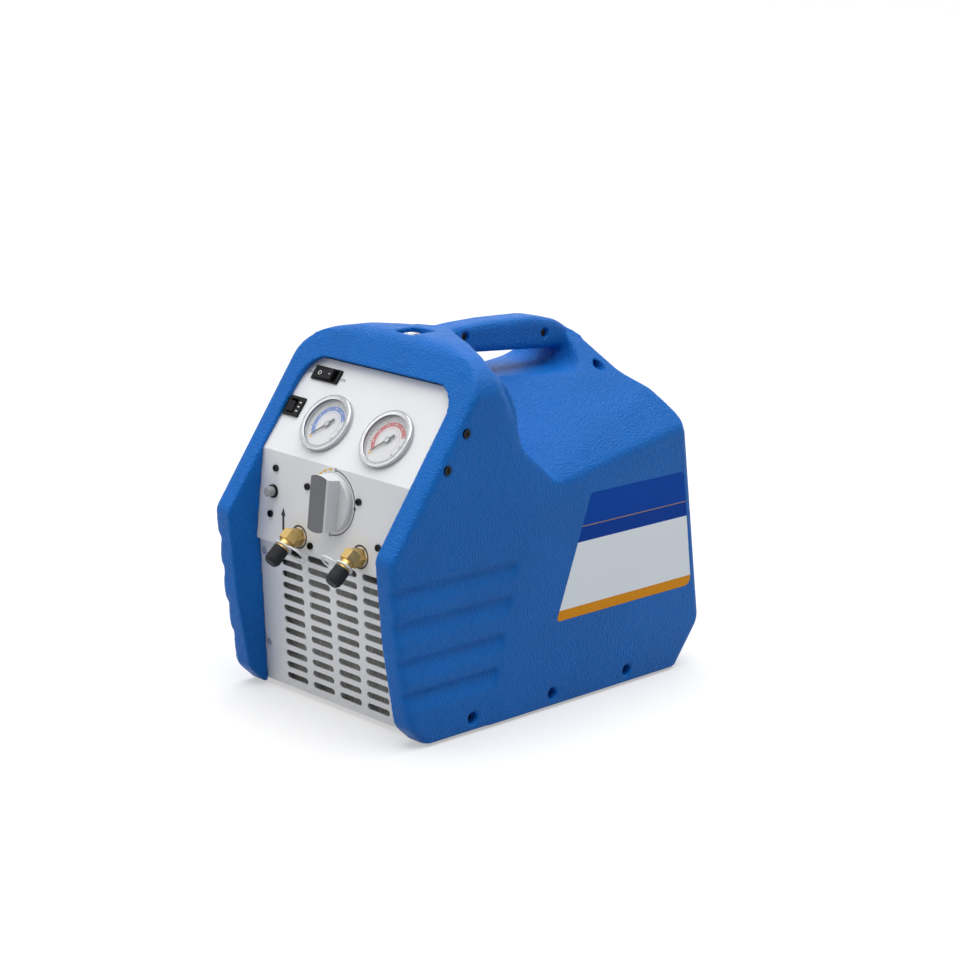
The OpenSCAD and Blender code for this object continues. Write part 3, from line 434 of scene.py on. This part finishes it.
def baked(source):
    """The mesh of an object with its modifiers applied."""
    graph = bpy.context.evaluated_depsgraph_get()
    return bpy.data.meshes.new_from_object(source.evaluated_get(graph))


def soften_housing():
    """Replace the two casing halves with one softened form, cut again at the middle plane."""
    joined = bmesh.new()
    for name in ("casing_left", "casing_right"):
        joined.from_mesh(nodes[name].data)
    parting = [f for f in joined.faces if all(abs(v.co.x) < PARTING_GAP for v in f.verts)]
    bmesh.ops.delete(joined, geom=parting, context="FACES")
    bmesh.ops.remove_doubles(joined, verts=joined.verts, dist=HALVES_WELD)
    add_collar_edge(joined)
    close_screw_well(joined)
    data = bpy.data.meshes.new("housing_form")
    joined.to_mesh(data)
    joined.free()
    form = bpy.data.objects.new("housing_form", data)
    bpy.context.scene.collection.objects.link(form)
    remesh = form.modifiers.new("remesh", "REMESH")
    remesh.mode = "VOXEL"
    remesh.voxel_size = VOXEL
    form.data = baked(form)
    form.modifiers.clear()
    bevel_shoulder(form.data)
    for group, inside in (("shoulder", on_shoulder), ("ribs", on_ribs), ("collar", on_collar)):
        made = form.vertex_groups.new(name=group)
        made.add([v.index for v in form.data.vertices if inside(v.co)], 1.0, "REPLACE")
    for rounds, group in ((SOFT_ROUNDS, ""), (SHOULDER_ROUNDS, "shoulder"), (RIB_ROUNDS, "ribs"),
                          (COLLAR_ROUNDS, "collar")):
        smooth = form.modifiers.new("smooth", "SMOOTH")
        smooth.factor = SMOOTH_FACTOR
        smooth.iterations = rounds
        smooth.vertex_group = group
    thin = form.modifiers.new("thin", "DECIMATE")
    thin.ratio = KEEP
    whole = baked(form)
    bpy.data.objects.remove(form)
    for side, name in ((-1, "casing_left"), (1, "casing_right")):
        half = bmesh.new()
        half.from_mesh(whole)
        bmesh.ops.bisect_plane(half, geom=half.verts[:] + half.edges[:] + half.faces[:],
                               plane_co=(0, 0, 0), plane_no=(-side, 0, 0), clear_outer=True)
        mesh = bpy.data.meshes.new(name + "_moulding")
        half.to_mesh(mesh)
        half.free()
        mesh.materials.clear()
        mesh.materials.append(MAT["housing"])
        mesh.shade_smooth()
        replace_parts(linked(name + "_moulding", mesh), name)


# Printing on the panels, in the plates' own frames: x across, y up the plate, z outward

FOLD = (-0.1696, 0.2347)
GAUGE_LEAN = math.radians(37)
KNOB_LEAN = math.radians(4.5)
PLATE_HEIGHT = 0.085
KNOB_BASE = (FOLD[0] - PLATE_HEIGHT * math.sin(KNOB_LEAN), FOLD[1] - PLATE_HEIGHT * math.cos(KNOB_LEAN))
INK = 0.06
ARC_STEP = 4
DISC_SIDES = 32


def plate(base, lean):
    """The frame of a leaning plate from its lowest point in y and z."""
    return Matrix((
        (1, 0, 0, 0),
        (0, math.sin(lean), -math.cos(lean), base[0]),
        (0, math.cos(lean), math.sin(lean), base[1]),
        (0, 0, 0, 1),
    ))


GAUGE_PLATE = plate(FOLD, GAUGE_LEAN)
KNOB_PLATE = plate(KNOB_BASE, KNOB_LEAN)


class Print:
    """Flat inked shapes on one plate, in millimetres of the plate's frame."""

    def __init__(self, name, place, ink, lift=INK, rise=None):
        self.name = name
        self.place = place
        self.ink = ink
        self.lift = lift
        self.rise = rise
        self.mesh = bmesh.new()

    def height(self, x):
        return self.lift + (self.rise(x) if self.rise else 0.0)

    def patch(self, points):
        made = [self.mesh.verts.new((x * MM, y * MM, self.height(x) * MM)) for x, y in points]
        self.mesh.faces.new(made)

    def bar(self, x0, y0, x1, y1, width):
        along = Vector((x1 - x0, y1 - y0)).normalized()
        side = Vector((-along.y, along.x)) * width / 2
        self.patch([(x0 - side.x, y0 - side.y), (x1 - side.x, y1 - side.y),
                    (x1 + side.x, y1 + side.y), (x0 + side.x, y0 + side.y)])

    def arc(self, cx, cy, r0, r1, a0, a1):
        count = max(2, int(abs(a1 - a0) / ARC_STEP))
        for k in range(count):
            a = math.radians(a0 + (a1 - a0) * k / count)
            b = math.radians(a0 + (a1 - a0) * (k + 1) / count)
            corners = [(r0, a), (r1, a), (r1, b), (r0, b)]
            if a1 < a0:
                corners.reverse()
            self.patch([(cx + r * math.cos(t), cy + r * math.sin(t)) for r, t in corners])

    def disc(self, cx, cy, r):
        turns = [2 * math.pi * k / DISC_SIDES for k in range(DISC_SIDES)]
        self.patch([(cx + r * math.cos(t), cy + r * math.sin(t)) for t in turns])

    def ring(self, cx, cy, r0, r1):
        self.arc(cx, cy, r0, r1, 0, 360)

    def done(self, body=BODY):
        data = bpy.data.meshes.new(self.name)
        bmesh.ops.transform(self.mesh, matrix=self.place, verts=self.mesh.verts)
        self.mesh.to_mesh(data)
        self.mesh.free()
        data.materials.append(MAT[self.ink])
        return linked(self.name, data, body)


def word(name, text, place, x, y, size, ink, lift=INK, turn=0.0, body=BODY):
    """A short generic mark, as a flat mesh."""
    curve = bpy.data.curves.new(name, "FONT")
    curve.body = text
    curve.size = size * MM
    curve.align_x = "CENTER"
    curve.align_y = "CENTER"
    holder = bpy.data.objects.new(name + "_text", curve)
    bpy.context.scene.collection.objects.link(holder)
    bpy.context.view_layer.update()
    data = baked(holder)
    bpy.data.objects.remove(holder)
    data.transform(place @ Matrix.Translation((x * MM, y * MM, lift * MM)) @ Matrix.Rotation(turn, 4, "Z"))
    data.materials.clear()
    data.materials.append(MAT[ink])
    return linked(name, data, body)


SELECTOR = (0.0, 53.0)
ARC_R = 30.0
ARC_HALF = 0.55
ARC_ENDS = (84, -86)
ARC_MARKS = (88, 0, -90)
ARC_MARK_R = (0.8, 1.7)
DASH_STARTS = (135, 121, 107)
DASH_SWEEP = 10
DASH_HALF = 0.9
ARROW_SHAFT = (-64.2, 13, -66, 27, 3)
ARROW_HEAD = ((-69.2, 26.5), (-62.6, 26.5), (-66.4, 34.5))


def print_knob_plate():
    """The selector's scale with its dashed start, and the flow arrow."""
    cx, cy = SELECTOR
    dark = Print("selector_scale", KNOB_PLATE, "ink_dark")
    dark.arc(cx, cy, ARC_R - ARC_HALF, ARC_R + ARC_HALF, *ARC_ENDS)
    for angle in ARC_MARKS:
        a = math.radians(angle)
        dark.ring(cx + ARC_R * math.cos(a), cy + ARC_R * math.sin(a), *ARC_MARK_R)
    dark.bar(*ARROW_SHAFT)
    dark.patch(ARROW_HEAD)
    dark.done()
    warm = Print("selector_start", KNOB_PLATE, "ink_yellow")
    for start in DASH_STARTS:
        warm.arc(cx, cy, ARC_R - DASH_HALF, ARC_R + DASH_HALF, start, start - DASH_SWEEP)
    warm.done()


GAUGES = (("low", -37.0, "ink_blue", 1.0), ("high", 44.0, "ink_red", 2.0))
GAUGE_UP = 38.0
DIAL_FACE = -0.6
NEEDLE_TOP = 1.8
SCALE_START = 225.0
SCALE_SWEEP = 270.0
BAND_SWEEP = 205.0
BAND_R = (14.6, 19.2)
INNER_LINE_R = (12.6, 12.9)
ZERO_MARK_R = (19.6, 21.8)
ZERO_MARK_ENDS = (-4, 6)
TICKS = 40
TICK_GROUP = 5
TICK_OUTER_R = 22.0
NUMBERS = 8
NUMBER_STEP = 5
NUMBER_R = 16.9
NUMBER_SIZE = 3
NEEDLE_CAP_R = 2.4


def print_dials():
    """Ticks, bands and numbers on both dials, and the caps on the needles."""
    for name, x, ink, top in GAUGES:
        lift = DIAL_FACE + 0.05
        ticks = Print("dial_ticks_" + name, GAUGE_PLATE, "ink_dark", lift)
        for k in range(TICKS + 1):
            a = math.radians(SCALE_START - SCALE_SWEEP * k / TICKS)
            inner, width = (20.4, 0.25) if k % TICK_GROUP else (19.4, 0.45)
            ticks.bar(x + inner * math.cos(a), GAUGE_UP + inner * math.sin(a),
                      x + TICK_OUTER_R * math.cos(a), GAUGE_UP + TICK_OUTER_R * math.sin(a), width)
        ticks.done()
        band = Print("dial_band_" + name, GAUGE_PLATE, ink, lift)
        band.arc(x, GAUGE_UP, *BAND_R, SCALE_START, SCALE_START - BAND_SWEEP)
        band.arc(x, GAUGE_UP, *INNER_LINE_R, SCALE_START, SCALE_START - SCALE_SWEEP)
        band.done()
        mark = Print("dial_mark_" + name, GAUGE_PLATE, "ink_yellow", lift + 0.02)
        mark.arc(x, GAUGE_UP, *ZERO_MARK_R, SCALE_START + ZERO_MARK_ENDS[0], SCALE_START + ZERO_MARK_ENDS[1])
        mark.done()
        cap = Print("needle_cap_" + name, GAUGE_PLATE, "chrome", NEEDLE_TOP + INK)
        cap.disc(x, GAUGE_UP, NEEDLE_CAP_R)
        cap.done(name + "_needle")
        for k in range(NUMBERS + 1):
            turned = SCALE_SWEEP * k / NUMBERS
            a = math.radians(SCALE_START - turned)
            number_ink = "ink_white" if turned < BAND_SWEEP else "ink_dark"
            word(f"dial_number_{name}_{k}", str(int(NUMBER_STEP * k * top)), GAUGE_PLATE,
                 x + NUMBER_R * math.cos(a), GAUGE_UP + NUMBER_R * math.sin(a), NUMBER_SIZE, number_ink,
                 lift + 0.03, a - math.pi / 2)


SWITCH = (-70.0, 84.6)
BREAKER = (-89.0, 46.5)
ROCKER_AXIS = -3.0
ROCKER_TILT = math.radians(-8)
DISH_R = 60.8
DISH_MID = 67.2
PORTS = ((-42.0, 11.5), (42.0, 11.5))
PORT_RING_R = (9.4, 11.2)
OFF_RING = (-7.5, 0, 1.5, 2.1)
ON_BAR = (6, 0, 9.5, 0, 0.7)
BREAKER_FACE = 2.2
BREAKER_MARKS = (-4.5, 0.0, 4.5)
BREAKER_MARK_X = (5.2, 8.2)
BREAKER_MARK_W = 1.1
WORD_SIZE = 4.6


def dish(x):
    """Height of the rocker's hollow face."""
    return DISH_MID - math.sqrt(DISH_R * DISH_R - x * x)


def print_ports():
    """A dark ring round each port."""
    base = Print("port_marks", KNOB_PLATE, "ink_dark")
    for x, y in PORTS:
        base.ring(x, y, *PORT_RING_R)
    base.done()


def print_switch():
    """Signs on the rocker, its two words, and the breaker's marks."""
    face = (GAUGE_PLATE @ Matrix.Translation((SWITCH[0] * MM, SWITCH[1] * MM, ROCKER_AXIS * MM))
            @ Matrix.Rotation(ROCKER_TILT, 4, "Y"))
    marks = Print("rocker_marks", face, "ink_white", INK, dish)
    marks.ring(*OFF_RING)
    marks.bar(*ON_BAR)
    marks.done("power_rocker")
    ticks = Print("breaker_marks", GAUGE_PLATE, "ink_white", BREAKER_FACE + INK)
    start, end = (BREAKER[0] + x for x in BREAKER_MARK_X)
    for y in BREAKER_MARKS:
        ticks.bar(start, BREAKER[1] + y, end, BREAKER[1] + y, BREAKER_MARK_W)
    ticks.done()
    word("switch_off", "OFF", GAUGE_PLATE, SWITCH[0] - 23.5, SWITCH[1] - 0.5, WORD_SIZE, "ink_dark")
    word("switch_on", "ON", GAUGE_PLATE, SWITCH[0] + 22.5, SWITCH[1] - 1.5, WORD_SIZE, "ink_dark")


GRIP_FACE = 18 * MM
FACING = 0.99


def paint_knob():
    """The flat outer face of the grip is a darker inlay."""
    data = nodes["selector_knob"].data
    data.materials.append(MAT["knob_face"])
    out = Vector((0, -math.cos(KNOB_LEAN), math.sin(KNOB_LEAN)))
    base = Vector((0, KNOB_BASE[0], KNOB_BASE[1]))
    for face in data.polygons:
        if face.normal.dot(out) > FACING and (face.center - base).dot(out) > GRIP_FACE:
            face.material_index = 1


# Light and floor

FLOOR_HALF = 15.0
FLOOR_GREY = 0.52
FLOOR_GLOW = 0.42
SKY = 0.12
WALL = 1.0
BACK_WALL = (-0.68, 0.69, 0.25)
WALL_STARTS = 0.4
WALL_FULL = 0.9
SUNS = (
    ("top", (0.1, 0.05, 1.0), 70, 3.1),
    ("front", (-0.5, -0.9, 0.7), 50, 0.75),
)


def background_rays(tree):
    """One for a ray that shows the background: seen straight, in a gloss or through glass."""
    path = tree.nodes.new("ShaderNodeLightPath")
    rays = path.outputs["Is Camera Ray"]
    for kind in ("Is Glossy Ray", "Is Transmission Ray"):
        either = tree.nodes.new("ShaderNodeMath")
        either.operation = "MAXIMUM"
        tree.links.new(rays, either.inputs[0])
        tree.links.new(path.outputs[kind], either.inputs[1])
        rays = either.outputs[0]
    return rays


def add_floor():
    """A plain pale floor that keeps the shadow and shows white where it is lit."""
    data = bpy.data.meshes.new("floor")
    half = FLOOR_HALF
    data.from_pydata([(-half, -half, 0), (half, -half, 0), (half, half, 0), (-half, half, 0)], [],
                     [(0, 1, 2, 3)])
    floor = bpy.data.objects.new("floor", data)
    bpy.context.scene.collection.objects.link(floor)
    s = Shader("floor_white")
    s.set(Base_Color=shade((1, 1, 1), FLOOR_GREY), Roughness=0.9, Specular_IOR_Level=0.0)
    s.set(Emission_Color=(1, 1, 1, 1))
    s.link(s.spread(background_rays(s.tree), 0.0, FLOOR_GLOW), "Emission Strength")
    data.materials.append(s.material)


def add_sun(name, towards, spread, power):
    """A wide soft sun; towards points from the machine to the light."""
    data = bpy.data.lights.new(name, "SUN")
    data.angle = math.radians(spread)
    data.energy = power
    lamp = bpy.data.objects.new(name, data)
    bpy.context.scene.collection.objects.link(lamp)
    lamp.rotation_euler = (-Vector(towards)).to_track_quat("-Z", "Y").to_euler()


def add_world():
    """A dim sky with one bright wall behind, seen as plain white."""
    world = bpy.data.worlds.new("studio")
    bpy.context.scene.world = world
    world.use_nodes = True
    tree = world.node_tree
    back = tree.nodes["Background"]
    back.inputs["Color"].default_value = (1, 1, 1, 1)
    coords = tree.nodes.new("ShaderNodeTexCoord")
    facing = tree.nodes.new("ShaderNodeVectorMath")
    facing.operation = "DOT_PRODUCT"
    facing.inputs[1].default_value = BACK_WALL
    tree.links.new(coords.outputs["Generated"], facing.inputs[0])
    wall = tree.nodes.new("ShaderNodeMapRange")
    wall.inputs["From Min"].default_value = WALL_STARTS
    wall.inputs["From Max"].default_value = WALL_FULL
    wall.inputs["To Min"].default_value = SKY
    wall.inputs["To Max"].default_value = WALL
    tree.links.new(facing.outputs["Value"], wall.inputs["Value"])
    strength = tree.nodes.new("ShaderNodeMix")
    tree.links.new(background_rays(tree), strength.inputs["Factor"])
    tree.links.new(wall.outputs["Result"], strength.inputs["A"])
    strength.inputs["B"].default_value = 1.0
    tree.links.new(strength.outputs["Result"], back.inputs["Strength"])


add_camera()
add_world()
add_floor()
for sun in SUNS:
    add_sun(*sun)
bpy.context.scene.view_settings.view_transform = "Standard"

dress_cad()
paint_knob()
soften_housing()
print_knob_plate()
print_ports()
print_dials()
print_switch()
